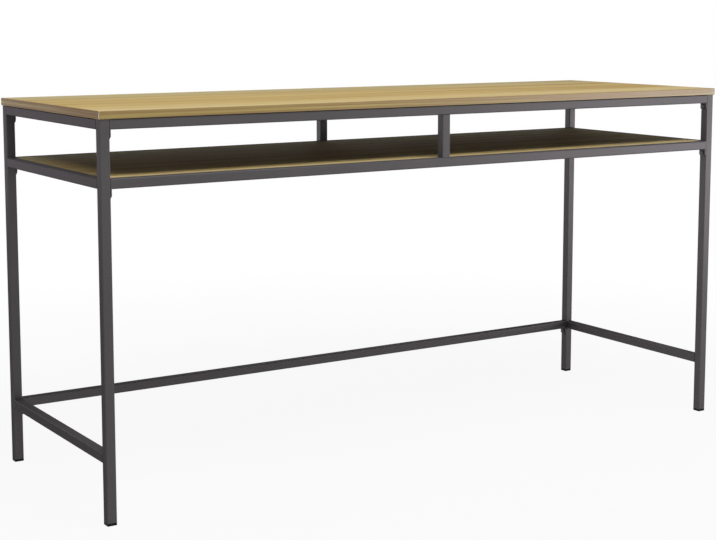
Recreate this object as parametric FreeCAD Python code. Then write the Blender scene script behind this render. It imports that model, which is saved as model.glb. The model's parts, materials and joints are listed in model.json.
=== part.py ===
import FreeCAD, Part
import math
import os
from collections import namedtuple

# Writing desk with a steel-tube frame, a laminated top and an open shelf under it.
# Millimetres. +Z is up, +X runs along the desk and +Y to its rear. The origin is on the floor,
# under the centre of the desk. Two welded end frames carry the legs. Long rails tie them
# together: each ends in a welded plate that one bolt pulls against the leg.

# Overall size
TOP_LENGTH = 1524.0
TOP_DEPTH = 504.0
DESK_HEIGHT = 762.0

# Top panel and its glued edge bands
TOP_THICKNESS = 15.0
TOP_OVERHANG = 2.0
BAND_THICKNESS = 1.5
BAND_ROUNDING_SHARE = 0.7

# Shelf panel, and the clear height of the two bays above it
SHELF_THICKNESS = 15.0
SHELF_GAP = 1.0
SHELF_EASING = 0.5
BAY_HEIGHT = 88.0

# Square steel tube, the same for legs, rails and posts
TUBE_SIDE = 19.0
TUBE_WALL = 1.2
TUBE_CORNER = 2.0
FOOT_RAIL_CLEARANCE = 115.0

# Plates welded to the ends of the long rails
PLATE_THICKNESS = 2.0
PLATE_DROP = 17.0
PLATE_CLIP = 5.0
PLATE_HOLE_SHARE = 0.5

# Bolts with a low hex head that hold the plates, and hex nuts welded flush into the legs for them
BOLT_DIAMETER = 6.0
BOLT_LENGTH = 12.0
BOLT_HEAD_ACROSS = 10.0
BOLT_HEAD_HEIGHT = 2.2
BOLT_HOLE_CLEARANCE = 0.3
NUT_ACROSS = 10.0
NUT_LENGTH = 6.0
NUT_THREAD_CLEARANCE = 0.05
NUT_SEAT_CLEARANCE = 0.05

# Hex-head wood screws that hold the top, access holes under their heads, and the wood left above their tips
SCREW_DIAMETER = 4.0
SCREW_HEAD_ACROSS = 7.0
SCREW_HEAD_HEIGHT = 3.0
SCREW_HOLE_CLEARANCE = 0.25
SCREW_ACCESS_DIAMETER = 12.0
SCREW_PILOT_CLEARANCE = 0.05
SCREW_COVER = 4.0

# Tabs welded inside the shelf rails, which the shelf lies on
TAB_THICKNESS = 2.0
TAB_LIFT = 2.0
TAB_LENGTH = 30.0
TAB_REACH = 22.0
TAB_CLIP = 5.0

# Plastic feet pushed into the legs
FOOT_RIM = 5.0
FOOT_CORE_GAP = 1.1
FOOT_CORE_WALL = 1.6
FOOT_CORE_HEIGHT = 16.0
FOOT_FIN_THICKNESS = 1.0
FOOT_FIN_CLEARANCE = 0.1
FOOT_FIN_COUNT = 3

# Places along a long rail, as shares of half its length
SCREW_SHARES = (-0.7, 0.7)
TAB_SHARES = {"left": -0.62, "centre": 0.0, "right": 0.62}

# Every cut runs this far past the face that it opens
CUT_OVERRUN = 1.0

# Sizes and levels that follow from the values above
TUBE_HALF = TUBE_SIDE / 2
TUBE_BORE = TUBE_SIDE - 2 * TUBE_WALL
FRAME_LENGTH = TOP_LENGTH - 2 * TOP_OVERHANG
FRAME_DEPTH = TOP_DEPTH - 2 * TOP_OVERHANG
LEG_X = FRAME_LENGTH / 2 - TUBE_HALF
LEG_Y = FRAME_DEPTH / 2 - TUBE_HALF
INNER_X = LEG_X - TUBE_HALF
INNER_Y = LEG_Y - TUBE_HALF
LONG_RAIL_HALF = INNER_X - PLATE_THICKNESS
FRAME_TOP = DESK_HEIGHT - TOP_THICKNESS
BAY_FLOOR = FRAME_TOP - TUBE_SIDE - BAY_HEIGHT
TAB_BOTTOM = BAY_FLOOR - TUBE_SIDE + TAB_LIFT
SHELF_BOTTOM = TAB_BOTTOM + TAB_THICKNESS
RAIL_LEVELS = {
    "top": FRAME_TOP - TUBE_HALF,
    "shelf": BAY_FLOOR - TUBE_HALF,
    "foot": FOOT_RAIL_CLEARANCE + TUBE_HALF,
}
BOLT_DROP = TUBE_HALF + PLATE_DROP * PLATE_HOLE_SHARE
BOLT_RADIUS = BOLT_DIAMETER / 2
BOLT_HOLE_RADIUS = BOLT_RADIUS + BOLT_HOLE_CLEARANCE
SCREW_RADIUS = SCREW_DIAMETER / 2
SCREW_HOLE_RADIUS = SCREW_RADIUS + SCREW_HOLE_CLEARANCE
SCREW_ACCESS_RADIUS = SCREW_ACCESS_DIAMETER / 2
SCREW_PILOT_RADIUS = SCREW_RADIUS + SCREW_PILOT_CLEARANCE
SCREW_BITE = TOP_THICKNESS - SCREW_COVER

# Directions, and the sides of the desk as signs on X and on Y
Vector = FreeCAD.Vector
ORIGIN = Vector(0, 0, 0)
X_AXIS = Vector(1, 0, 0)
Y_AXIS = Vector(0, 1, 0)
Z_AXIS = Vector(0, 0, 1)
ENDS = {"left": -1, "right": 1}
FACES = {"front": -1, "rear": 1}

# Long rails by face and level: the front has none at the feet, so that knees go in there
LONG_RAILS = [("front", "top"), ("front", "shelf"), ("rear", "top"), ("rear", "shelf"), ("rear", "foot")]

# A hole starts at a point and runs along a direction
Hole = namedtuple("Hole", "radius start direction depth")

# A bolted end of a long rail: sign is its end on X, and y and bolt_level place its bolt
RailEnd = namedtuple("RailEnd", "face level end sign y bolt_level")


def up(height):
    return Vector(0, 0, height)


def moved(shape, x, y, z):
    shape = shape.copy()
    shape.translate(Vector(x, y, z))
    return shape


def turned(shape, direction):
    """A shape made along +Z, turned about the origin so that it runs along the direction."""
    turn = FreeCAD.Rotation(Z_AXIS, direction)
    return shape.rotated(ORIGIN, turn.Axis, math.degrees(turn.Angle))


def box_on(width, depth, height):
    """Box that stands on the XY plane, centred on the origin."""
    return moved(Part.makeBox(width, depth, height), -width / 2, -depth / 2, 0)


def edges_along(shape, axis):
    """Straight edges of a box that run along an axis."""
    return [edge for edge in shape.Edges if round(abs(edge.tangentAt(edge.FirstParameter).dot(axis))) == 1]


def rounded_bar(side, radius, length):
    """Square bar along +Z from the origin, with round corners."""
    bar = box_on(side, side, length)
    return bar.makeFillet(radius, edges_along(bar, Z_AXIS))


def hex_bar(across, length):
    """Six-sided bar along +Z from the origin, by its size across flats."""
    sixth = FreeCAD.Rotation(Z_AXIS, 60)
    corners = [Vector(across / 3 ** 0.5, 0, 0)]
    for _ in range(6):
        corners.append(sixth.multVec(corners[-1]))
    return Part.Face(Part.makePolygon(corners)).extrude(up(length))


def only_solid(shape):
    return shape.Solids[0]


def bored(shape, holes):
    for hole in holes:
        shape = shape.cut(Part.makeCylinder(hole.radius, hole.depth, hole.start, hole.direction))
    return only_solid(shape)


# Where things meet

def rail_ends():
    ends = []
    for face, level in LONG_RAILS:
        for end, sign in ENDS.items():
            bolt_level = RAIL_LEVELS[level] - BOLT_DROP
            ends.append(RailEnd(face, level, end, sign, FACES[face] * LEG_Y, bolt_level))
    return ends


def screw_places(face):
    """Places on XY of the screws that go up through a top rail."""
    return [(share * LONG_RAIL_HALF, FACES[face] * LEG_Y) for share in SCREW_SHARES]


def all_screw_places():
    return [place for face in FACES for place in screw_places(face)]


def shelf_tab_places():
    """For each shelf tab, the middle of its welded edge and its turn about Z from facing +Y."""
    places = {}
    for face, sign in FACES.items():
        for spot, share in TAB_SHARES.items():
            places[f"{face}_shelf_tab_{spot}"] = share * LONG_RAIL_HALF, sign * INNER_Y, 90 + 90 * sign
    for end, sign in ENDS.items():
        places[f"{end}_shelf_tab"] = sign * INNER_X, 0, 90 * sign
    return places


# Steel frame

def tube(length):
    """Square tube along +Z from the origin."""
    bore = box_on(TUBE_BORE, TUBE_BORE, length)
    return only_solid(rounded_bar(TUBE_SIDE, TUBE_CORNER, length).cut(bore))


def nut_seat():
    """Hole through a leg's wall for a hex nut, open at the origin and going down -Z."""
    depth = TUBE_WALL + 2 * CUT_OVERRUN
    return moved(hex_bar(NUT_ACROSS + 2 * NUT_SEAT_CLEARANCE, depth), 0, 0, -TUBE_WALL - CUT_OVERRUN)


def leg(end, face):
    solid = moved(tube(FRAME_TOP - FOOT_RIM), ENDS[end] * LEG_X, FACES[face] * LEG_Y, FOOT_RIM)
    for rail_end in rail_ends():
        if (rail_end.end, rail_end.face) == (end, face):
            seat = turned(nut_seat(), X_AXIS * -rail_end.sign)
            solid = solid.cut(moved(seat, rail_end.sign * INNER_X, rail_end.y, rail_end.bolt_level))
    return only_solid(solid)


def legs():
    return {f"{end}_{face}_leg": leg(end, face) for end in ENDS for face in FACES}


def side_rails():
    """Rails welded between the front and rear legs of each end frame."""
    rail = turned(tube(2 * INNER_Y), Y_AXIS)
    return {
        f"{end}_{level}_rail": moved(rail, sign * LEG_X, -INNER_Y, height)
        for end, sign in ENDS.items() for level, height in RAIL_LEVELS.items()
    }


def screw_holes(x, y):
    """Hole for a screw of the top in the upper wall of a top rail, and the access hole in its lower wall."""
    depth = TUBE_WALL + 2 * CUT_OVERRUN
    upper = Vector(x, y, FRAME_TOP + CUT_OVERRUN - depth)
    lower = Vector(x, y, FRAME_TOP - TUBE_SIDE - CUT_OVERRUN)
    return [Hole(SCREW_HOLE_RADIUS, upper, Z_AXIS, depth), Hole(SCREW_ACCESS_RADIUS, lower, Z_AXIS, depth)]


def long_rails():
    """Rails between their end plates. The top rails are bored for the screws of the top."""
    blank = turned(tube(2 * LONG_RAIL_HALF), X_AXIS)
    nodes = {}
    for face, level in LONG_RAILS:
        rail = moved(blank, -LONG_RAIL_HALF, FACES[face] * LEG_Y, RAIL_LEVELS[level])
        places = screw_places(face) if level == "top" else []
        holes = [hole for x, y in places for hole in screw_holes(x, y)]
        nodes[f"{face}_{level}_rail"] = bored(rail, holes)
    return nodes


def posts():
    """Short uprights at mid length, between the shelf rail and the top rail."""
    post = tube(BAY_HEIGHT)
    return {f"{face}_post": moved(post, 0, sign * LEG_Y, BAY_FLOOR) for face, sign in FACES.items()}


def end_plate(rail_end):
    """Plate that closes the end of a long rail and hangs below it with a bolt hole."""
    height = TUBE_SIDE + PLATE_DROP
    plate = box_on(PLATE_THICKNESS, TUBE_SIDE, height)
    lower = [edge for edge in edges_along(plate, X_AXIS) if edge.CenterOfMass.z < height / 2]
    middle = rail_end.sign * (INNER_X + LONG_RAIL_HALF) / 2
    bottom = RAIL_LEVELS[rail_end.level] + TUBE_HALF - height
    plate = moved(plate.makeChamfer(PLATE_CLIP, lower), middle, rail_end.y, bottom)
    depth = PLATE_THICKNESS + 2 * CUT_OVERRUN
    start = Vector(middle - depth / 2, rail_end.y, rail_end.bolt_level)
    return bored(plate, [Hole(BOLT_HOLE_RADIUS, start, X_AXIS, depth)])


def end_plates():
    return {f"{spot.face}_{spot.level}_{spot.end}_end_plate": end_plate(spot) for spot in rail_ends()}


def shelf_tabs():
    """Tongues welded to the shelf rails, clipped at their free corners."""
    tab = moved(box_on(TAB_LENGTH, TAB_REACH, TAB_THICKNESS), 0, TAB_REACH / 2, 0)
    free = [edge for edge in edges_along(tab, Z_AXIS) if edge.CenterOfMass.y > TAB_REACH / 2]
    tab = only_solid(tab.makeChamfer(TAB_CLIP, free))
    return {
        name: moved(tab.rotated(ORIGIN, Z_AXIS, turn), x, y, TAB_BOTTOM)
        for name, (x, y, turn) in shelf_tab_places().items()
    }


# Wood panels

def top_panel():
    """Board between the edge bands, with blind pilot holes for its screws."""
    core = box_on(TOP_LENGTH - 2 * BAND_THICKNESS, TOP_DEPTH - 2 * BAND_THICKNESS, TOP_THICKNESS)
    start = FRAME_TOP - CUT_OVERRUN
    depth = SCREW_BITE + CUT_OVERRUN
    holes = [Hole(SCREW_PILOT_RADIUS, Vector(x, y, start), Z_AXIS, depth) for x, y in all_screw_places()]
    return {"top_panel": bored(moved(core, 0, 0, FRAME_TOP), holes)}


def edge_band(length):
    """Band along X, centred, glued at Y = 0 and reaching to -Y, with its outer edges rounded."""
    band = moved(box_on(length, BAND_THICKNESS, TOP_THICKNESS), 0, -BAND_THICKNESS / 2, 0)
    outer = [edge for edge in edges_along(band, X_AXIS) if edge.CenterOfMass.y < -BAND_THICKNESS / 2]
    return band.makeFillet(BAND_THICKNESS * BAND_ROUNDING_SHARE, outer)


def edge_bands():
    """The front and rear bands run the full length, and the end bands fit between them."""
    nodes = {}
    glue_x = TOP_LENGTH / 2 - BAND_THICKNESS
    glue_y = TOP_DEPTH / 2 - BAND_THICKNESS
    for face, sign in FACES.items():
        band = edge_band(TOP_LENGTH).rotated(ORIGIN, Z_AXIS, 90 + 90 * sign)
        nodes[f"top_{face}_edge_band"] = only_solid(moved(band, 0, sign * glue_y, FRAME_TOP))
    for end, sign in ENDS.items():
        band = edge_band(2 * glue_y).rotated(ORIGIN, Z_AXIS, 90 * sign)
        nodes[f"top_{end}_edge_band"] = only_solid(moved(band, sign * glue_x, 0, FRAME_TOP))
    return nodes


def shelf_panel():
    """Shelf that drops in between the rails onto the tabs, with its upper edges eased."""
    shelf = box_on(2 * (INNER_X - SHELF_GAP), 2 * (INNER_Y - SHELF_GAP), SHELF_THICKNESS)
    upper = [edge for edge in shelf.Edges if edge.BoundBox.ZMin > SHELF_THICKNESS / 2]
    shelf = shelf.makeChamfer(SHELF_EASING, upper)
    return {"shelf_panel": only_solid(moved(shelf, 0, 0, SHELF_BOTTOM))}


# Plastic feet

def foot():
    """Foot standing at the origin: a rim as wide as the leg, and a hollow finned core above it."""
    core_side = TUBE_BORE - 2 * FOOT_CORE_GAP
    core = box_on(core_side, core_side, FOOT_CORE_HEIGHT)
    fin_side = TUBE_BORE - 2 * FOOT_FIN_CLEARANCE
    fin = box_on(fin_side, fin_side, FOOT_FIN_THICKNESS)
    for number in range(FOOT_FIN_COUNT):
        core = core.fuse(moved(fin, 0, 0, FOOT_CORE_HEIGHT * (number + 1) / (FOOT_FIN_COUNT + 1)))
    pocket_side = core_side - 2 * FOOT_CORE_WALL
    core = core.cut(box_on(pocket_side, pocket_side, FOOT_CORE_HEIGHT + CUT_OVERRUN))
    rim = rounded_bar(TUBE_SIDE, TUBE_CORNER, FOOT_RIM)
    return only_solid(rim.fuse(moved(core, 0, 0, FOOT_RIM)).removeSplitter())


def feet():
    blank = foot()
    return {
        f"{end}_{face}_foot": moved(blank, sign_x * LEG_X, sign_y * LEG_Y, 0)
        for end, sign_x in ENDS.items() for face, sign_y in FACES.items()
    }


# Fasteners

def hex_headed(across, head_height, radius, length):
    """Fastener whose head bears on the origin, with its head to +Z and its shank down -Z."""
    shank = Part.makeCylinder(radius, length, up(-length))
    return only_solid(hex_bar(across, head_height).fuse(shank))


def weld_nut():
    """Hex nut, flush at the origin and going down -Z."""
    nut = moved(hex_bar(NUT_ACROSS, NUT_LENGTH), 0, 0, -NUT_LENGTH)
    start = up(-NUT_LENGTH - CUT_OVERRUN)
    return bored(nut, [Hole(BOLT_RADIUS + NUT_THREAD_CLEARANCE, start, Z_AXIS, NUT_LENGTH + 2 * CUT_OVERRUN)])


def frame_fasteners():
    """The bolts and nuts of all end plates, each kind as one group."""
    bolt = hex_headed(BOLT_HEAD_ACROSS, BOLT_HEAD_HEIGHT, BOLT_RADIUS, BOLT_LENGTH)
    seats = {"frame_bolts": (bolt, LONG_RAIL_HALF), "frame_weld_nuts": (weld_nut(), INNER_X)}
    groups = {}
    for name, (solid, seat) in seats.items():
        copies = []
        for spot in rail_ends():
            piece = turned(solid, X_AXIS * -spot.sign)
            copies.append(moved(piece, spot.sign * seat, spot.y, spot.bolt_level))
        groups[name] = Part.makeCompound(copies)
    return groups


def top_screws():
    """Screws up into the top. Their heads bear on the upper wall of the top rails, from inside."""
    screw = hex_headed(SCREW_HEAD_ACROSS, SCREW_HEAD_HEIGHT, SCREW_RADIUS, TUBE_WALL + SCREW_BITE)
    screw = screw.rotated(ORIGIN, X_AXIS, 180)
    screws = [moved(screw, x, y, FRAME_TOP - TUBE_WALL) for x, y in all_screw_places()]
    return {"top_screws": Part.makeCompound(screws)}


def main():
    groups = [
        legs, side_rails, long_rails, posts, end_plates, shelf_tabs,
        top_panel, edge_bands, shelf_panel, feet, frame_fasteners, top_screws,
    ]
    os.makedirs("parts", exist_ok=True)
    count = 0
    for group in groups:
        for name, shape in group().items():
            shape.exportStep(os.path.join("parts", f"{name}.step"))
            count += 1
    print(f"{count} pieces, {TOP_LENGTH:g} x {TOP_DEPTH:g} x {DESK_HEIGHT:g} mm")


main()
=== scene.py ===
# %% [markdown]
# # A writing desk with a slim steel frame
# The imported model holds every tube, board and bolt of the desk at its real size. This lesson keeps
# those solids and gives each one the finish of the real desk. It swaps the fasteners for finer ones,
# adds the welds and then sets up a plain white studio. One Blender unit is one metre, +X runs along the
# desk and +Y runs to its rear.

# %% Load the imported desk
import json
import math

import bmesh
import bpy
from mathutils import Color, Matrix, Vector


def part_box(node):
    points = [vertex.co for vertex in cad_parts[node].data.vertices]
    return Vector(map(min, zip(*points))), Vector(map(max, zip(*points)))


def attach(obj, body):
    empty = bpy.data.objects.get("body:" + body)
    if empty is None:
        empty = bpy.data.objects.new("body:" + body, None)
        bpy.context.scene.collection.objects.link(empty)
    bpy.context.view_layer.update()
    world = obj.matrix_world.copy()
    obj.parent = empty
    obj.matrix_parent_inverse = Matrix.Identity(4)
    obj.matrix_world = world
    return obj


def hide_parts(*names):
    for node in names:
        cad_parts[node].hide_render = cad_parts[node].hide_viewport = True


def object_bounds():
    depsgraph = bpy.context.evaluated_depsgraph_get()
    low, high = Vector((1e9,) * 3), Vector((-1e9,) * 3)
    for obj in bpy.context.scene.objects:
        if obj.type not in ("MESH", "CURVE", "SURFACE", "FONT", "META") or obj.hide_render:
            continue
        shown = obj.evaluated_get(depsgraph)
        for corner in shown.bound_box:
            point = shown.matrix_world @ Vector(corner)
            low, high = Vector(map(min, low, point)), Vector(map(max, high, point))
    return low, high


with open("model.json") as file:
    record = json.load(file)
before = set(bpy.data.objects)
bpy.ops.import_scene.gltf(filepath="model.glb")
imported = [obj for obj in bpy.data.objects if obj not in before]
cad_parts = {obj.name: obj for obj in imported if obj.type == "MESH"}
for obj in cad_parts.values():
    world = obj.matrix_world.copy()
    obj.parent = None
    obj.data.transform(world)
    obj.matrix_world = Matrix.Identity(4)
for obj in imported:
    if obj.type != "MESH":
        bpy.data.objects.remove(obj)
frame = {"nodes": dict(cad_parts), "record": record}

MM = 0.001
cad_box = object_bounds()
nodes = frame["nodes"]
print(f"{len(nodes)} nodes in a box of {[round(side, 3) for side in cad_box[1] - cad_box[0]]} m")

# %% [markdown]
# ## The camera
# The desk is seen from its left front, from just above the top. A long lens from more than three metres
# away keeps the perspective calm. A level camera with a large shift would keep the legs quite upright,
# but other views keep the shift too, and they would lose the desk. So the camera tilts down a little,
# and a small shift does the rest.

# %% Place the camera
EYE = Vector((-1.8263, -2.7586, 0.9352))
HEADING = math.radians(32.706)
TILT_DOWN = math.radians(6.846)
LENS = 76.3
SHIFT_UP = -0.105
QUARTER = math.pi / 2


def add_object(name, data):
    """Puts a mesh, a lamp or a camera into the scene as an object at the origin."""
    made = bpy.data.objects.new(name, data)
    bpy.context.scene.collection.objects.link(made)
    return made


camera = add_object("camera", bpy.data.cameras.new("camera"))
camera.location = EYE
camera.rotation_euler = (QUARTER - TILT_DOWN, 0, -HEADING)
camera.data.lens = LENS
camera.data.shift_y = SHIFT_UP
bpy.context.scene.camera = camera
print(f"camera {(EYE - (cad_box[0] + cad_box[1]) / 2).length:.2f} m from the middle of the desk")

# %% [markdown]
# ## Shader maths as plain sums
# A finish is a sum of patterns, and a chain of nodes hides that sum. So a small class wraps one output
# of a node. Adding or multiplying two of them adds the Math node that does it, and any other node comes
# from the method `node`. Settings are set before sockets, because some of them change which sockets
# there are.

# %% A wire that can be added and multiplied
class Wire:
    """One output of a node, in the tree that the node belongs to."""

    def __init__(self, tree, socket=None):
        self.tree = tree
        self.socket = socket

    def node(self, kind, settings=None, sockets=None, out=0):
        """Adds a node of any kind, and gives back the chosen one of its outputs."""
        made = self.tree.nodes.new(kind)
        for name, value in (settings or {}).items():
            if name == "stops":
                set_stops(made.color_ramp, value)
            else:
                setattr(made, name, value)
        for key, value in (sockets or {}).items():
            if isinstance(value, Wire):
                self.tree.links.new(value.socket, made.inputs[key])
            else:
                made.inputs[key].default_value = value
        return Wire(self.tree, made.outputs[out] if made.outputs else None)

    def maths(self, operation, first, second):
        """Adds a Math node, which takes wires and plain numbers alike."""
        return self.node("ShaderNodeMath", {"operation": operation}, {0: first, 1: second})

    def __add__(self, other):
        return self.maths("ADD", self, other)

    def __radd__(self, other):
        return self.maths("ADD", other, self)

    def __sub__(self, other):
        return self.maths("SUBTRACT", self, other)

    def __rsub__(self, other):
        return self.maths("SUBTRACT", other, self)

    def __mul__(self, other):
        return self.maths("MULTIPLY", self, other)

    def __rmul__(self, other):
        return self.maths("MULTIPLY", other, self)


def set_stops(ramp, stops):
    """Gives a ramp its (place, colour) stops. A ramp always keeps one, so the first is used again."""
    while len(ramp.elements) > 1:
        ramp.elements.remove(ramp.elements[-1])
    for number, (place, colour) in enumerate(stops):
        stop = ramp.elements[0] if number == 0 else ramp.elements.new(place)
        stop.position = place
        stop.color = colour


print("a wire takes +, - and * from either side")

# %% [markdown]
# ## Colours
# A colour is easiest to judge as a screen shows it, from 0 to 255, but a shader adds up light and needs
# linear values. Blender knows the curve between the two, so colours are written for the screen and
# turned here.

# %% Colours for shaders
SCREEN_WHITE = 255


def srgb(red, green, blue):
    """A colour as a screen shows it, in the linear values that shaders use."""
    linear = (Color((red, green, blue)) / SCREEN_WHITE).from_srgb_to_scene_linear()
    return (*linear, 1.0)


def grey(value):
    """A linear grey, from 0 to 1."""
    return value, value, value, 1.0


WHITE = grey(1.0)
print(f"half grey on a screen is {srgb(128, 128, 128)[0]:.3f} to a shader")

# %% [markdown]
# ## What every finish shares
# A finish starts with an empty material and the place on the desk in metres, and it ends with one
# Principled shader. The place comes from Object coordinates. Every piece sits at the origin, so a
# pattern runs on from one piece to the next at its true scale.

# %% Start and close a finish
def new_finish(name):
    """An empty material, and the place on the desk."""
    material = bpy.data.materials.new(name)
    material.use_nodes = True
    material.node_tree.nodes.clear()
    start = Wire(material.node_tree)
    return material, start.node("ShaderNodeTexCoord", out="Object")


def close_finish(material, place, sockets):
    """Ends the material in a Principled shader with these sockets."""
    shader = place.node("ShaderNodeBsdfPrincipled", sockets=sockets)
    place.node("ShaderNodeOutputMaterial", sockets={"Surface": shader})
    print("finish:", material.name, len(material.node_tree.nodes), "nodes")
    return material


print("a finish runs from Object coordinates to a Principled shader")

# %% [markdown]
# ## Patterns
# Between the two ends there is mostly noise. The Noise node has a scale of its own, but only one for
# all directions. So the place is scaled first, to so many blotches in a metre along each axis. Noise
# seldom reaches 0 or 1, and stretching a part of its range brings out the contrast.

# %% Noise and ranges
SOFT_RANGE = (0.3, 0.7)


def patches(place, per_metre, detail=2.0):
    """Noise with so many blotches in a metre along X, Y and Z."""
    scaled = place.node("ShaderNodeVectorMath", {"operation": "MULTIPLY"}, {0: place, 1: per_metre})
    return place.node("ShaderNodeTexNoise", sockets={"Vector": scaled, "Scale": 1.0, "Detail": detail})


def evenly(count):
    """The same count along X, Y and Z."""
    return count, count, count


def axis_of(vector, axis):
    """One axis of a vector, as a number."""
    return vector.node("ShaderNodeSeparateXYZ", sockets={"Vector": vector}, out=axis)


def spread(value, low, high):
    """Stretches the range from low to high over 0 to 1, and clips what lies outside."""
    return value.node("ShaderNodeMapRange", sockets={"Value": value, "From Min": low, "From Max": high})


print("soft noise is stretched from", SOFT_RANGE, "to 0 and 1")

# %% [markdown]
# ## From patterns to colours and relief
# A pattern becomes a colour in a ramp or a mix, and a relief in a Bump node. A colour can't go through
# the sums of a wire, because a Math node turns it grey, so a tint is a Mix node that multiplies. A Mix
# node has a set of sockets for each kind of data, and the ones for colours have to be picked by number.

# %% Ramps, mixes and relief
MIX_FACTOR = 0
MIX_FIRST = 6
MIX_SECOND = 7
MIX_COLOUR = 2


def ramp(factor, stops):
    """Looks a number up in a row of (place, colour) stops."""
    return factor.node("ShaderNodeValToRGB", {"stops": stops}, {"Fac": factor})


def greys(stops):
    """Colour stops from (place, value) stops."""
    return [(place, grey(value)) for place, value in stops]


def mixed(factor, first, second):
    """The first colour where the factor is 0, and the second where it is 1."""
    sockets = {MIX_FACTOR: factor, MIX_FIRST: first, MIX_SECOND: second}
    return factor.node("ShaderNodeMix", {"data_type": "RGBA"}, sockets, out=MIX_COLOUR)


def tinted(colour, tint):
    """A colour multiplied by another."""
    settings = {"data_type": "RGBA", "blend_type": "MULTIPLY"}
    sockets = {MIX_FACTOR: 1.0, MIX_FIRST: colour, MIX_SECOND: tint}
    return colour.node("ShaderNodeMix", settings, sockets, out=MIX_COLOUR)


def relief(height, strength, depth):
    """A surface that is tilted by a height too small to model."""
    sockets = {"Height": height, "Strength": strength, "Distance": depth}
    return height.node("ShaderNodeBump", sockets=sockets)


print("colours mix from socket", MIX_FIRST, "to socket", MIX_SECOND)

# %% [markdown]
# ## Oak-look laminate: the figure
# The boards carry a printed oak face. Its figure is noise drawn out along the grain: broad bands, long
# streaks, thin brown lines, fibres and short pores. All of them add up to one number, the tone, which
# later becomes a colour. A picture of oak would be simpler, but it blurs close up and repeats, and a
# formula does neither.

# %% Bands, streaks, lines, fibres and pores
# Each layer has so many blotches in a metre along the grain, so many across it, and a level of detail
BANDS = (0.5, 22, 2.0)
STREAKS = (1.6, 95, 3.0)
LINES = (0.9, 42, 2.0)
FIBRES = (14, 620, 3.0)
PORES = (110, 1500, 1.0)
LINE_RANGE = (0.53, 0.66)
PORE_RANGE = (0.66, 0.74)
BAND_WEIGHT = 0.2
STREAK_WEIGHT = 0.32
FIBRE_WEIGHT = 0.14
LINE_WEIGHT = 0.26
PORE_WEIGHT = 0.1
MIDDLE_TONE = 0.27


def layer(along, counts, fineness=1.0):
    """One layer of the figure, made finer across the grain by a factor."""
    lengthwise, crosswise, detail = counts
    return patches(along, (lengthwise, crosswise * fineness, crosswise * fineness), detail)


def figure(along, fineness=1.0):
    """The tone of the figure, about zero, and its fibres and pores for the relief."""
    bands = spread(layer(along, BANDS, fineness), *SOFT_RANGE)
    streaks = spread(layer(along, STREAKS, fineness), *SOFT_RANGE)
    lines = spread(layer(along, LINES, fineness), *LINE_RANGE)
    fibres = layer(along, FIBRES)
    pores = spread(layer(along, PORES), *PORE_RANGE)
    pale = BAND_WEIGHT * bands + STREAK_WEIGHT * streaks + FIBRE_WEIGHT * fibres
    tone = pale - MIDDLE_TONE - LINE_WEIGHT * lines - PORE_WEIGHT * pores
    return tone, fibres, pores


print(f"pores are about {1 / PORES[0] / MM:.0f} mm long and {1 / PORES[1] / MM:.1f} mm wide")

# %% [markdown]
# ## Oak-look laminate: boards and growth rings
# From front to rear the boards differ slightly in tone, with pale ones at the front and the rear, the
# rear one greyer. A Brick node could lay boards, but all of one width, so two ramps across the depth of
# the desk give each board its tone and its tint. The growth rings arch along a board, and an arch is a
# parabola: the rings are counted up with the square of the distance from the middle of the board, plus a
# little for every metre along it. Noise makes the seams and the rings wander, so that nothing is ruled
# straight.

# %% Boards and growth rings
BOARD_TONES = [
    (0.0, 0.69), (0.21, 0.67), (0.235, 0.52), (0.46, 0.48), (0.5, 0.54),
    (0.64, 0.6), (0.74, 0.55), (0.8, 0.68), (1.0, 0.7)]
BOARD_TINTS = [
    (0.0, WHITE), (0.21, WHITE), (0.24, (1.0, 0.98, 0.93, 1.0)),
    (0.72, (1.0, 0.985, 0.95, 1.0)), (0.8, (0.89, 0.93, 1.0, 1.0)), (1.0, (0.88, 0.92, 1.0, 1.0))]
DESK_DEPTH = cad_box[1].y - cad_box[0].y
WANDER_PER_METRE = (1.5, 3, 3)
SEAM_WANDER = 30 * MM
BOARD_MIDDLE = 35 * MM
RINGS_ACROSS = 1500.0
RINGS_ALONG = 9.0
RING_WANDER = 7.0
RING_WEIGHT = 0.09


def boards(along):
    """The tone of the boards with their rings, and the tint of the boards."""
    wander = patches(along, WANDER_PER_METRE)
    crosswise = axis_of(along, "Y") + SEAM_WANDER * wander - SEAM_WANDER / 2
    # The desk is centred on Y, so the share is 0 at its front and 1 at its rear
    share = crosswise * (1 / DESK_DEPTH) + 0.5
    off_middle = crosswise - BOARD_MIDDLE
    arches = RINGS_ACROSS * off_middle * off_middle + RINGS_ALONG * axis_of(along, "X")
    rings = along.node("ShaderNodeMath", {"operation": "FRACT"}, {0: arches + RING_WANDER * wander})
    tone = ramp(share, greys(BOARD_TONES)) + RING_WEIGHT * rings - RING_WEIGHT / 2
    return tone, ramp(share, BOARD_TINTS)


print(f"the boards share a depth of {DESK_DEPTH / MM:.0f} mm")

# %% [markdown]
# ## Oak-look laminate: edge bands
# A thin printed band covers each edge of the top. Its figure is finer and stronger than that of the
# face, and it lies in stripes, from pale at the bottom to a dark line just under the top. The stripes
# could be strips of their own, but the real band is one smooth tape, so a ramp over its height gives
# them. A ramp can't hold a value below zero, so the stripes are all lifted and then dropped again.

# %% Striped edge bands
EDGE_STRIPES = [(0.0, 0.26), (0.3, 0.23), (0.5, 0.18), (0.72, 0.09), (0.86, 0.0), (1.0, 0.04)]
EDGE_DROP = 0.1
EDGE_FIGURE = 1.2
EDGE_FINENESS = 3.0
EDGE_WANDER = 4 * MM
band_low, band_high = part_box("top_front_edge_band")


def stripes(along):
    """The tone of an edge band, from its lower edge to its upper one."""
    height = axis_of(along, "Z") + EDGE_WANDER * patches(along, WANDER_PER_METRE) - EDGE_WANDER / 2
    return ramp(spread(height, band_low.z, band_high.z), greys(EDGE_STRIPES)) - EDGE_DROP


print(f"the edge bands are {(band_high.z - band_low.z) / MM:.1f} mm high")

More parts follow.
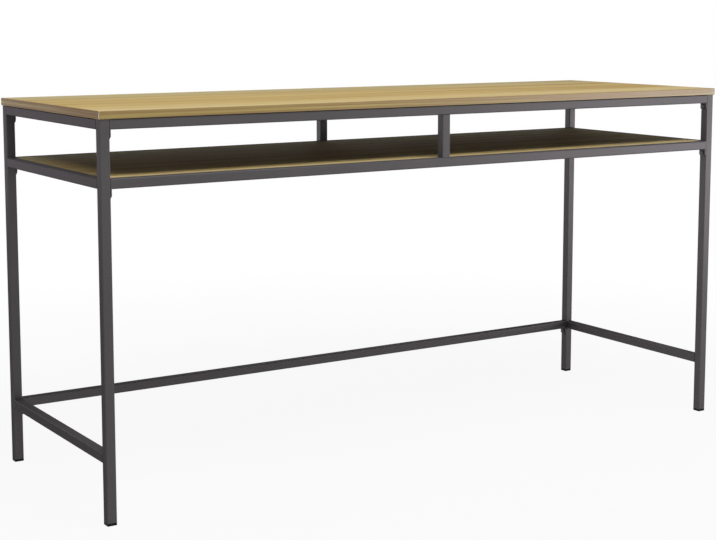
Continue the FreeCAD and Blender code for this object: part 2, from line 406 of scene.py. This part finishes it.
# %% [markdown]
# ## Oak-look laminate: the underside
# A board that is printed on one side is balanced by a plain backing sheet on the other, or it would
# warp. The sheet is grey-brown, and it keeps the bay under the top dark. It could be a material of its
# own on the lower faces, but the solids stay as they are, so the direction of the surface picks the
# sheet.

# %% The backing sheet
BACKING_DARK = srgb(84, 77, 70)
BACKING_LIGHT = srgb(116, 108, 99)
BACKING_PER_METRE = 300
FACING_DOWN = (-0.4, -0.6)


def with_backing(along, colour):
    """The printed colour, but the backing sheet on faces that point down."""
    upward = axis_of(along.node("ShaderNodeNewGeometry", out="Normal"), "Z")
    sheet = mixed(patches(along, evenly(BACKING_PER_METRE)), BACKING_DARK, BACKING_LIGHT)
    return mixed(spread(upward, *FACING_DOWN), colour, sheet)


print(f"blotches on the backing sheet are about {1 / BACKING_PER_METRE / MM:.1f} mm wide")

# %% [markdown]
# ## Oak-look laminate: three finishes
# The tone runs through one ramp from brown to straw. The face of the boards is matt. The long edge
# bands are yellower and have a satin gloss, so that they catch the lamps. On the two ends the grain
# turns with the edge, which a Mapping node does. Fibres and pores also give a fine relief.

# %% Oak for faces, long edges and ends
GRAIN_STOPS = [
    (0.0, srgb(140, 104, 58)),
    (0.35, srgb(177, 149, 92)),
    (0.55, srgb(190, 164, 106)),
    (0.75, srgb(203, 181, 128)),
    (1.0, srgb(213, 195, 147)),
]
LONG_EDGE_TINT = (0.93, 1.0, 0.8, 1.0)
PORE_DEPTH_SHARE = 0.8
GRAIN_RELIEF = 0.06
GRAIN_DEPTH = 0.1 * MM
FIBRE_ROUGHNESS = 0.16


def close_oak(material, along, colour, fibres, pores, gloss, roughness):
    """Closes an oak finish with its relief and its gloss."""
    return close_finish(material, along, {
        "Base Color": colour,
        "Roughness": roughness + FIBRE_ROUGHNESS * fibres,
        "Normal": relief(fibres - PORE_DEPTH_SHARE * pores, GRAIN_RELIEF, GRAIN_DEPTH),
        "Specular IOR Level": gloss,
    })


def face_of_oak(name, gloss, roughness):
    material, place = new_finish(name)
    tone, fibres, pores = figure(place)
    board_tone, board_tint = boards(place)
    colour = tinted(ramp(tone + board_tone, GRAIN_STOPS), board_tint)
    return close_oak(material, place, with_backing(place, colour), fibres, pores, gloss, roughness)


def edge_of_oak(name, turn, tint, gloss, roughness):
    material, place = new_finish(name)
    along = place.node("ShaderNodeMapping", sockets={"Vector": place, "Rotation": (0, 0, turn)})
    tone, fibres, pores = figure(along, EDGE_FINENESS)
    colour = tinted(ramp(EDGE_FIGURE * tone + stripes(along), GRAIN_STOPS), tint)
    return close_oak(material, along, colour, fibres, pores, gloss, roughness)


oak_face = face_of_oak("oak_face", gloss=0.08, roughness=0.62)
oak_long_edge = edge_of_oak("oak_long_edge", turn=0, tint=LONG_EDGE_TINT, gloss=0.7, roughness=0.3)
oak_end_edge = edge_of_oak("oak_end_edge", turn=QUARTER, tint=WHITE, gloss=0.14, roughness=0.5)

# %% [markdown]
# ## Powder coat
# The steel is coated with a graphite powder that melts to a satin skin. Its flakes make it part metal,
# and a dark one: at a flat angle it mirrors much less than bright metal would, which the specular tint
# gives. The skin has a faint orange peel, a ripple about two millimetres long, and a very fine speckle
# of lighter grains. Both are too small to model, so the ripple goes into the relief and the speckle
# into the colour.

# %% The frame's graphite coat
COAT_DARK = srgb(84, 81, 83)
COAT_LIGHT = srgb(99, 96, 98)
PEEL_PER_METRE = 480
PEEL_RELIEF = 0.12
PEEL_DEPTH = 0.2 * MM
SPECKLE_PER_METRE = 2600
SPECKLE_RANGE = (0.62, 0.7)
SPECKLE_WEIGHT = 0.35
CLOUD_PER_METRE = 9
CLOUD_WEIGHT = 0.5
CLOUD_ROUGHNESS = 0.1
FLAKE_SHARE = 0.4
FLAT_ANGLE_TINT = grey(0.3)


def graphite_coat(name, roughness):
    material, place = new_finish(name)
    peel = patches(place, evenly(PEEL_PER_METRE), detail=1.0)
    speckle = spread(patches(place, evenly(SPECKLE_PER_METRE), detail=0.0), *SPECKLE_RANGE)
    cloud = patches(place, evenly(CLOUD_PER_METRE))
    return close_finish(material, place, {
        "Base Color": mixed(SPECKLE_WEIGHT * speckle + CLOUD_WEIGHT * cloud, COAT_DARK, COAT_LIGHT),
        "Metallic": FLAKE_SHARE,
        "Roughness": roughness + CLOUD_ROUGHNESS * cloud,
        "Normal": relief(peel, PEEL_RELIEF, PEEL_DEPTH),
        "Specular IOR Level": 0.0,
        "Specular Tint": FLAT_ANGLE_TINT,
    })


coat = graphite_coat("graphite_coat", roughness=0.37)

# %% [markdown]
# ## Plastic feet
# The feet are caps of black polypropylene with the fine texture of their mould. One layer of noise
# serves the colour, the roughness and the relief alike, because on the real cap the same pits cause all
# three.

# %% Moulded plastic
PLASTIC_DARK = srgb(4, 4, 5)
PLASTIC_LIGHT = srgb(14, 14, 14)
PITS_PER_METRE = 1400
PIT_ROUGHNESS = 0.2
PIT_RELIEF = 0.2
PIT_DEPTH = 0.1 * MM


def moulded_plastic(name, gloss, roughness):
    material, place = new_finish(name)
    pits = patches(place, evenly(PITS_PER_METRE))
    return close_finish(material, place, {
        "Base Color": mixed(pits, PLASTIC_DARK, PLASTIC_LIGHT),
        "Roughness": roughness + PIT_ROUGHNESS * pits,
        "Normal": relief(pits, PIT_RELIEF, PIT_DEPTH),
        "Specular IOR Level": gloss,
    })


plastic = moulded_plastic("foot_plastic", gloss=0.12, roughness=0.55)

# %% [markdown]
# ## Plated fasteners
# The bolts and screws are black zinc, a dark metal with a slightly cloudy sheen, and the nuts inside
# the legs are bright zinc. Both are the same plating in another colour, so one function makes both.

# %% Zinc
PLATING_PER_METRE = 420
PLATING_DETAIL = 4.0
PLATING_ROUGHNESS = 0.2


def zinc(name, dark, light, roughness):
    material, place = new_finish(name)
    cloud = patches(place, evenly(PLATING_PER_METRE), PLATING_DETAIL)
    return close_finish(material, place, {
        "Base Color": mixed(spread(cloud, *SOFT_RANGE), dark, light),
        "Metallic": 1.0,
        "Roughness": roughness + PLATING_ROUGHNESS * cloud,
    })


dark_zinc = zinc("dark_zinc", dark=srgb(48, 47, 49), light=srgb(74, 72, 74), roughness=0.28)
bright_zinc = zinc("bright_zinc", dark=srgb(160, 160, 158), light=srgb(196, 195, 190), roughness=0.22)

# %% [markdown]
# ## Dress the solids
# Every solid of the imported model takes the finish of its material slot. Only the edge bands need a
# choice: on the long edges the print runs along X, and on the two ends along Y.

# %% Give each node its finish
FINISHES = {
    "oak_laminate": oak_face,
    "graphite_paint": coat,
    "foot_plastic": plastic,
    "dark_zinc": dark_zinc,
    "bare_steel": bright_zinc,
}
END_BANDS = ("top_left_edge_band", "top_right_edge_band")


def finish_of(node, slot):
    if slot == "edge_band":
        return oak_end_edge if node in END_BANDS else oak_long_edge
    return FINISHES[slot]


for part in frame["record"]["subparts"]:
    for slot in nodes[part["node"]].material_slots:
        slot.material = finish_of(part["node"], part["material_slot"])

# %% [markdown]
# ## Making new pieces
# The pieces below are each drawn once with bmesh operators and then repeated. A finished piece's object
# stays at the origin with its place in its mesh. It rides on the desk's one body, and it gets its finish
# as its material.

# %% Helpers for new pieces
MERGE_DISTANCE = 0.002 * MM


def recalculate(bm):
    """Merges doubled corners and turns every face outwards."""
    bmesh.ops.remove_doubles(bm, verts=bm.verts, dist=MERGE_DISTANCE)
    bmesh.ops.recalc_face_normals(bm, faces=bm.faces)


def kept_mesh(name, bm):
    """Turns a bmesh into a mesh and frees it."""
    mesh = bpy.data.meshes.new(name)
    bm.to_mesh(mesh)
    bm.free()
    return mesh


def repeated(mesh, places):
    """One bmesh with a copy of the mesh at each placing matrix."""
    bm = bmesh.new()
    for place in places:
        first = len(bm.verts)
        bm.from_mesh(mesh)
        bm.verts.ensure_lookup_table()
        bmesh.ops.transform(bm, matrix=place, verts=bm.verts[first:])
    return bm


def new_piece(name, bm, material):
    """A piece of the desk, which rides on its body."""
    piece = add_object(name, kept_mesh(name, bm))
    piece.data.materials.append(material)
    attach(piece, "root")
    print("piece:", name, len(piece.data.polygons), "faces")
    return piece


def line_of(bm, outline):
    """Corners and edges along an outline of (radius, height) points, ready for a spin about Z."""
    corners = [bm.verts.new((radius, 0, height)) for radius, height in outline]
    return corners + [bm.edges.new(pair) for pair in zip(corners, corners[1:])]


print(f"corners closer than {MERGE_DISTANCE / MM:.3f} mm are merged")

# %% [markdown]
# ## Hex heads
# A hex head is made as on a lathe. A round blank gets its chamfered top and a washer face, and then six
# cuts give it flats. That leaves the curved corners that a real head has, and a six-sided prism lacks
# them.

# %% A hex head
HEX_SIDES = 6
HEAD_STEPS = 48
WASHER_FACE_SHARE = 0.95
WASHER_FACE_HEIGHT_SHARE = 0.08
CHAMFER = math.radians(30)


def blank(bm, across, height):
    """A round head that bears on Z = 0 and stands up along +Z."""
    corner = across / math.sqrt(3)
    flat_top = across / 2 * WASHER_FACE_SHARE
    lip = height * WASHER_FACE_HEIGHT_SHARE
    shoulder = height - (corner - flat_top) * math.tan(CHAMFER)
    outline = [
        (0, 0), (flat_top, 0), (flat_top, lip), (corner, lip),
        (corner, shoulder), (flat_top, height), (0, height)]
    bmesh.ops.spin(
        bm, geom=line_of(bm, outline), axis=(0, 0, 1), cent=(0, 0, 0), steps=HEAD_STEPS, angle=math.tau,
        use_merge=True)
    recalculate(bm)


def hex_head(bm, across, height):
    """A blank with six flats cut on it."""
    blank(bm, across, height)
    for turn in range(HEX_SIDES):
        facing = Matrix.Rotation(turn * math.tau / HEX_SIDES, 3, "Z") @ Vector((1, 0, 0))
        whole = bm.verts[:] + bm.edges[:] + bm.faces[:]
        cut = bmesh.ops.bisect_plane(
            bm, geom=whole, plane_co=facing * across / 2, plane_no=facing, clear_outer=True)["geom_cut"]
        bmesh.ops.edgeloop_fill(bm, edges=[item for item in cut if isinstance(item, bmesh.types.BMEdge)])
    recalculate(bm)


print(f"a head is turned in {HEAD_STEPS} steps and cut {HEX_SIDES} times")

# %% [markdown]
# ## Threads
# A thread is one V of metal that runs down a helix. Modelled rings would be easier, but they don't
# climb. A spin that also moves sweeps the V, and each turn ends where the next one starts, so the turns
# join into one skin. The two open ends are then filled.

# %% A threaded shank
THREAD_STEPS = 18
THREAD_DEPTH_SHARE = 0.6
CREST_START_SHARE = 0.44
CREST_END_SHARE = 0.56


def thread(bm, radius, length, pitch):
    """A threaded shank from Z = 0 down, closed at both ends."""
    core = radius - THREAD_DEPTH_SHARE * pitch
    # The V is one pitch high itself, so its sweep is one turn shorter than the shank
    turns = int(length / pitch) - 1
    crest = [(radius, -CREST_START_SHARE * pitch), (radius, -CREST_END_SHARE * pitch)]
    outline = [(core, 0), *crest, (core, -pitch)]
    bmesh.ops.spin(
        bm, geom=line_of(bm, outline), axis=(0, 0, 1), cent=(0, 0, 0), dvec=(0, 0, -pitch / THREAD_STEPS),
        steps=THREAD_STEPS * turns, angle=math.tau * turns)
    bmesh.ops.remove_doubles(bm, verts=bm.verts, dist=MERGE_DISTANCE)
    bmesh.ops.holes_fill(bm, edges=[edge for edge in bm.edges if edge.is_boundary])
    recalculate(bm)


def fastener(name, across, height, radius, length, pitch):
    """A mesh of one hex head on its threaded shank."""
    head = bmesh.new()
    hex_head(head, across, height)
    shank = bmesh.new()
    thread(shank, radius, length, pitch)
    shank_mesh = kept_mesh(name + "_shank", shank)
    head.from_mesh(shank_mesh)
    bpy.data.meshes.remove(shank_mesh)
    print(f"{name}: {across / MM:.0f} mm across flats, shank {length / MM:.1f} mm")
    return kept_mesh(name, head)


print(f"a thread has {THREAD_STEPS} steps in each turn")

# %% [markdown]
# ## Bolts
# Each long rail ends in a plate that hangs below it, and a bolt goes through the hanging part into a
# nut in the leg. The bolt's place comes from the plate's own box, so it sits where the imported bolt
# does. The finer bolts stand for the imported ones, which stay for collisions, hidden.

# %% Bolts at the ends of the long rails
BOLT_ACROSS = 10 * MM
BOLT_HEAD = 2.2 * MM
BOLT_RADIUS = 3 * MM
BOLT_LENGTH = 12 * MM
BOLT_PITCH = 1 * MM
rail_low, rail_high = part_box("front_top_rail")
TUBE = rail_high.z - rail_low.z


def bolt_place(plate):
    """The middle of the part of the plate that hangs below its rail, facing away from the leg."""
    low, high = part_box(plate)
    side = -1 if low.x > 0 else 1
    seat = high.x if side > 0 else low.x
    level = low.z + (high.z - low.z - TUBE) / 2
    middle = Matrix.Translation((seat, (low.y + high.y) / 2, level))
    return middle @ Matrix.Rotation(side * QUARTER, 4, "Y")


bolt_places = [bolt_place(name) for name in nodes if name.endswith("end_plate")]
bolt = fastener("bolt", BOLT_ACROSS, BOLT_HEAD, BOLT_RADIUS, BOLT_LENGTH, BOLT_PITCH)
bolts = new_piece("hex_bolts", repeated(bolt, bolt_places), dark_zinc)
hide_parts("frame_bolts")

# %% [markdown]
# ## Screws
# The top is held by four screws inside the two long top rails. Each bears on the upper wall of its rail
# and goes up into the board, and a round hole in the lower wall lets the driver in. The same fastener
# serves, with a coarser thread and turned upside down.

# %% Screws inside the top rails
SCREW_ACROSS = 7 * MM
SCREW_HEAD = 3 * MM
SCREW_RADIUS = 2 * MM
SCREW_LENGTH = 12.2 * MM
SCREW_PITCH = 1.8 * MM
SCREW_SHARE = 0.7
TUBE_WALL = 1.2 * MM
HALF_TURN = Matrix.Rotation(math.pi, 4, "X")


def screw_places():
    """Two places under the upper wall of each long top rail, a share of the way to its ends."""
    for rail in ("front_top_rail", "rear_top_rail"):
        low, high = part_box(rail)
        for side in (-SCREW_SHARE, SCREW_SHARE):
            seat = (side * high.x, (low.y + high.y) / 2, high.z - TUBE_WALL)
            yield Matrix.Translation(seat) @ HALF_TURN


screw = fastener("screw", SCREW_ACROSS, SCREW_HEAD, SCREW_RADIUS, SCREW_LENGTH, SCREW_PITCH)
screws = new_piece("hex_screws", repeated(screw, screw_places()), dark_zinc)
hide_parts("top_screws")

# %% [markdown]
# ## Weld beads
# The end frames are welded. Where a weld would show it is ground flush and lost under the coat, but on
# the undersides the bead stays. A bead is a small fillet with a ripple for every dab of the torch. So a
# face of four corners is extruded step by step, and it shrinks and swells by turns. An extruded face
# leaves the old one inside the bead, where it has to be deleted.

# %% One weld bead
BEAD = 2.6 * MM
BEAD_BULGE_SHARE = 0.62
RIPPLE_SHARE = 0.84
RIPPLE_LENGTH = 3.2 * MM
FEWEST_RIPPLES = 2


def bead(bm, start, end, first, second):
    """A fillet from start to end, in the corner between two faces that face along first and second."""
    offsets = [Vector(), first, (first + second) * BEAD_BULGE_SHARE, second]
    face = bm.faces.new([bm.verts.new(start + BEAD * offset) for offset in offsets])
    # Each ripple takes two steps, one that shrinks and one that swells
    steps = 2 * max(FEWEST_RIPPLES, round((end - start).length / RIPPLE_LENGTH))
    for number in range(1, steps + 1):
        grown = bmesh.ops.extrude_face_region(bm, geom=[face])["geom"]
        # The first face closes the start of the bead, so only later ones go
        if number > 1:
            bmesh.ops.delete(bm, geom=[face], context="FACES_ONLY")
        face = next(item for item in grown if isinstance(item, bmesh.types.BMFace))
        bmesh.ops.translate(bm, vec=(end - start) / steps, verts=face.verts)
        size = RIPPLE_SHARE if number % 2 else 1 / RIPPLE_SHARE
        here = start.lerp(end, number / steps)
        bmesh.ops.scale(bm, vec=(size, size, size), space=Matrix.Translation(-here), verts=face.verts)


print(f"a bead is {BEAD / MM:.1f} mm wide, with a ripple every {RIPPLE_LENGTH / MM:.1f} mm or so")

# %% [markdown]
# Each side rail has a bead under either end, where it meets a leg, and each shelf tab has one along the
# rail that carries it. All of them are one piece, in the coat of the frame.

# %% Beads under the side rails and the shelf tabs
DOWN = Vector((0, 0, -1))
TAB_BEAD_HEIGHT_SHARE = 0.7
END_TABS = ("left_shelf_tab", "right_shelf_tab")


def side_rail_beads(bm, rail):
    """The underside of a side rail, where it meets the leg in front of it and the leg behind it."""
    low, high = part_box(rail)
    for y, facing in ((low.y, 1), (high.y, -1)):
        start = Vector((low.x + BEAD, y, low.z))
        bead(bm, start, Vector((high.x - BEAD, y, low.z)), Vector((0, facing, 0)), DOWN)


def tab_bead(bm, tab):
    """The underside of a shelf tab, along the rail that carries it."""
    low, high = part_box(tab)
    if tab in END_TABS:
        outer = low.x if low.x < 0 else high.x
        start, end = Vector((outer, low.y, low.z)), Vector((outer, high.y, low.z))
        inward = Vector((1 if low.x < 0 else -1, 0, 0))
    else:
        outer = low.y if low.y < 0 else high.y
        start, end = Vector((low.x, outer, low.z)), Vector((high.x, outer, low.z))
        inward = Vector((0, 1 if low.y < 0 else -1, 0))
    bead(bm, start, end, inward, DOWN * TAB_BEAD_HEIGHT_SHARE)


beads = bmesh.new()
for side in ("left", "right"):
    for level in ("top", "shelf", "foot"):
        side_rail_beads(beads, f"{side}_{level}_rail")
for name in nodes:
    if "shelf_tab" in name:
        tab_bead(beads, name)
recalculate(beads)
new_piece("weld_beads", beads, coat)

# %% [markdown]
# ## A white floor
# The desk stands on a plain white floor that runs out into a white background. More light would make a
# floor white, but it would wash out the desk. So the camera sees white through Light Path, and so do
# reflections, until a ray has met a dull surface. Near the desk a small share of the floor is left to
# the lamps, which keeps the soft shadow.

# %% The floor and its shadow
FLOOR_RADIUS = 9.0
FLOOR_SEGMENTS = 96
FLOOR_GREY = grey(0.5)
SHADOW_SHARE = 0.07
SHADOW_FADES = (0.9, 2.2)


def white_to_eye(start):
    """1 for rays from the camera, off a gloss or through glass, and 0 once they met a dull surface."""
    camera_ray, glossy_ray, clear_ray, dull_bounces = [
        start.node("ShaderNodeLightPath", out=name)
        for name in ("Is Camera Ray", "Is Glossy Ray", "Is Transmission Ray", "Diffuse Depth")]
    sees_white = start.maths("MINIMUM", camera_ray + glossy_ray + clear_ray, 1.0)
    return sees_white * (1 - start.maths("MINIMUM", dull_bounces, 1.0))


def white_floor(name):
    material, place = new_finish(name)
    away = place.node("ShaderNodeVectorMath", {"operation": "LENGTH"}, {0: place}, out="Value")
    white_share = 1 - SHADOW_SHARE + SHADOW_SHARE * spread(away, *SHADOW_FADES)
    whiteness = white_share * white_to_eye(place)
    lit = place.node("ShaderNodeBsdfDiffuse", sockets={"Color": FLOOR_GREY})
    white = place.node("ShaderNodeEmission", sockets={"Color": WHITE, "Strength": 1.0})
    shown = place.node("ShaderNodeMixShader", sockets={0: whiteness, 1: lit, 2: white})
    place.node("ShaderNodeOutputMaterial", sockets={"Surface": shown})
    return material


disc = bmesh.new()
bmesh.ops.create_circle(disc, cap_ends=True, radius=FLOOR_RADIUS, segments=FLOOR_SEGMENTS)
floor = add_object("floor", kept_mesh("floor", disc))
floor.data.materials.append(white_floor("floor_white"))
print(f"floor {2 * FLOOR_RADIUS:.0f} m across, {SHADOW_SHARE:.0%} of it lit by the lamps near the desk")

# %% [markdown]
# ## A white background
# The world is white to the camera and to reflections in the same way. To a dull surface it gives only a
# trace of light from all round, so that the soft boxes shape the desk and the bay under the top stays
# dark.

# %% A white background and a trace of light
AMBIENT = 0.01

world = bpy.data.worlds.new("studio")
bpy.context.scene.world = world
world.use_nodes = True
world.node_tree.nodes.clear()
sky = Wire(world.node_tree)
ambient = sky.node("ShaderNodeBackground", sockets={"Color": WHITE, "Strength": AMBIENT})
backdrop = sky.node("ShaderNodeBackground", sockets={"Color": WHITE, "Strength": 1.0})
seen = sky.node("ShaderNodeMixShader", sockets={0: white_to_eye(sky), 1: ambient, 2: backdrop})
sky.node("ShaderNodeOutputWorld", sockets={"Surface": seen})
bpy.context.scene.view_settings.view_transform = "Standard"
print("background is white to the camera, and", AMBIENT, "to a dull surface")

# %% [markdown]
# ## Soft boxes
# The light is that of a studio. A big box hangs overhead in front of the desk, so that the shelf lies
# in the shade of the top, and a weaker one at the left lights the left end of the shelf. A low, broad
# box at the right front makes the frame and the front edge brighter towards the right. A small one at
# the left rear shows in the left faces of the tubes. Dim fills at the front, the left and the right
# rear keep the rest from going black. Every box points at the middle of the desk, a little under its
# top.

# %% Boxes of light round the desk
AIM = Vector((0, 0, 0.65))
# Each box has its place and its width and height in metres, and its power in watts
SOFT_BOXES = {
    "front_overhead_box": ((0, -1.5, 3.0), (2.8, 1.2), 75),
    "left_overhead_box": ((-2.0, 0.1, 2.9), (1.2, 1.2), 15),
    "right_box": ((2.5, -1.9, 0.42), (1.6, 0.45), 25),
    "front_fill": ((-1.0, -3.2, 0.9), (1.4, 0.6), 8),
    "left_fill": ((-3.0, 0.2, 0.7), (1.2, 0.6), 3),
    "left_rear_box": ((-1.55, 2.0, 0.55), (0.6, 0.5), 8),
    "rear_fill": ((1.6, 3.0, 0.42), (1.4, 0.45), 14),
}


def soft_box(name, place, size, power):
    """A rectangle of light that the camera doesn't see."""
    lamp = bpy.data.lights.new(name, "AREA")
    lamp.shape = "RECTANGLE"
    lamp.size, lamp.size_y = size
    lamp.energy = power
    box = add_object(name, lamp)
    box.location = place
    box.rotation_euler = (AIM - Vector(place)).to_track_quat("-Z", "Y").to_euler()
    box.visible_camera = False
    print("light:", name, power, "W")


for name, (place, size, power) in SOFT_BOXES.items():
    soft_box(name, place, size, power)
